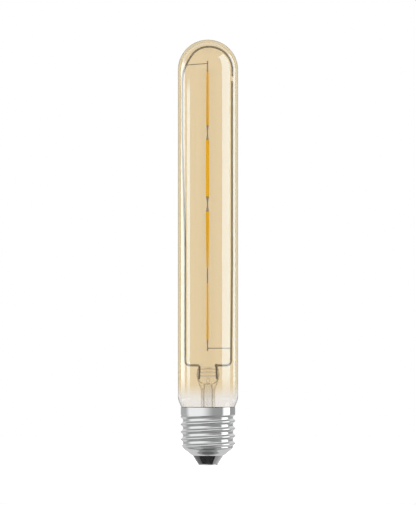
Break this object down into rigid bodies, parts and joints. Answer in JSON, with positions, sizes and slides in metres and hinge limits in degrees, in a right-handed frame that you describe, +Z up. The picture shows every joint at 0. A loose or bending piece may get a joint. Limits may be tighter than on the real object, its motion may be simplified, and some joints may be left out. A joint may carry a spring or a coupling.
{
  "type": "tubular light bulb",
  "caption": "Slim amber glass tube lamp with a domed end, a vertical line of LED filaments on wire supports and a screw cap with a black insulator and centre contact.",
  "frame": {"origin": "centre of the flat under the centre contact, on the lamp's axis", "axes": "+Z runs up the lamp's axis from the contact to the dome, +X to the right and +Y away from the viewer, with the support wires in the XZ plane"},
  "size_m": [0.0292, 0.029, 0.2057],
  "materials": {
    "amber_glass": "smooth amber glass, fading to clear at the neck",
    "clear_glass": "clear fire-polished glass",
    "nickel_shell": "bright nickel plating on rolled sheet",
    "black_insulator": "glossy black moulded insulator",
    "contact_metal": "pressed plated contact",
    "support_metal": "drawn nickel-steel wire",
    "phosphor": "yellow phosphor in silicone",
    "strip_metal": "stamped strip with spot-welded pins",
    "lead_metal": "copper-clad lead wire",
    "cement": "baked capping cement",
    "board": "solder mask on glass-fibre board",
    "package": "black moulded package",
    "capacitor_sleeve": "shrink sleeve on an aluminium can",
    "ferrite": "sintered ferrite drum, lacquered",
    "resistor_body": "lacquered resistor body",
    "wire_cover": "pale insulated hook-up wire"
  },
  "bodies": {
    "root": {"glass_bulb": "amber_glass", "stem": "clear_glass", "exhaust_tube": "clear_glass", "cap_shell": "nickel_shell", "capping_cement": "cement", "cap_insulator": "black_insulator", "centre_contact": "contact_metal", "left_support_wire": "support_metal", "right_support_wire": "support_metal", "right_stem_lead": "support_metal", "top_cross_wire": "support_metal", "bottom_cross_wire": "support_metal", "left_outer_lead": "lead_metal", "right_outer_lead": "lead_metal", "driver_board": "board", "fusible_resistor": "resistor_body", "smoothing_capacitor": "capacitor_sleeve", "filter_choke": "ferrite", "bridge_rectifier": "package", "driver_chip": "package", "live_wire": "wire_cover", "neutral_wire": "wire_cover", "filament_strip_1": "strip_metal", "filament_coat_1": "phosphor", "filament_strip_2": "strip_metal", "filament_coat_2": "phosphor", "filament_strip_3": "strip_metal", "filament_coat_3": "phosphor", "filament_strip_4": "strip_metal", "filament_coat_4": "phosphor"}
  },
  "joints": []
}
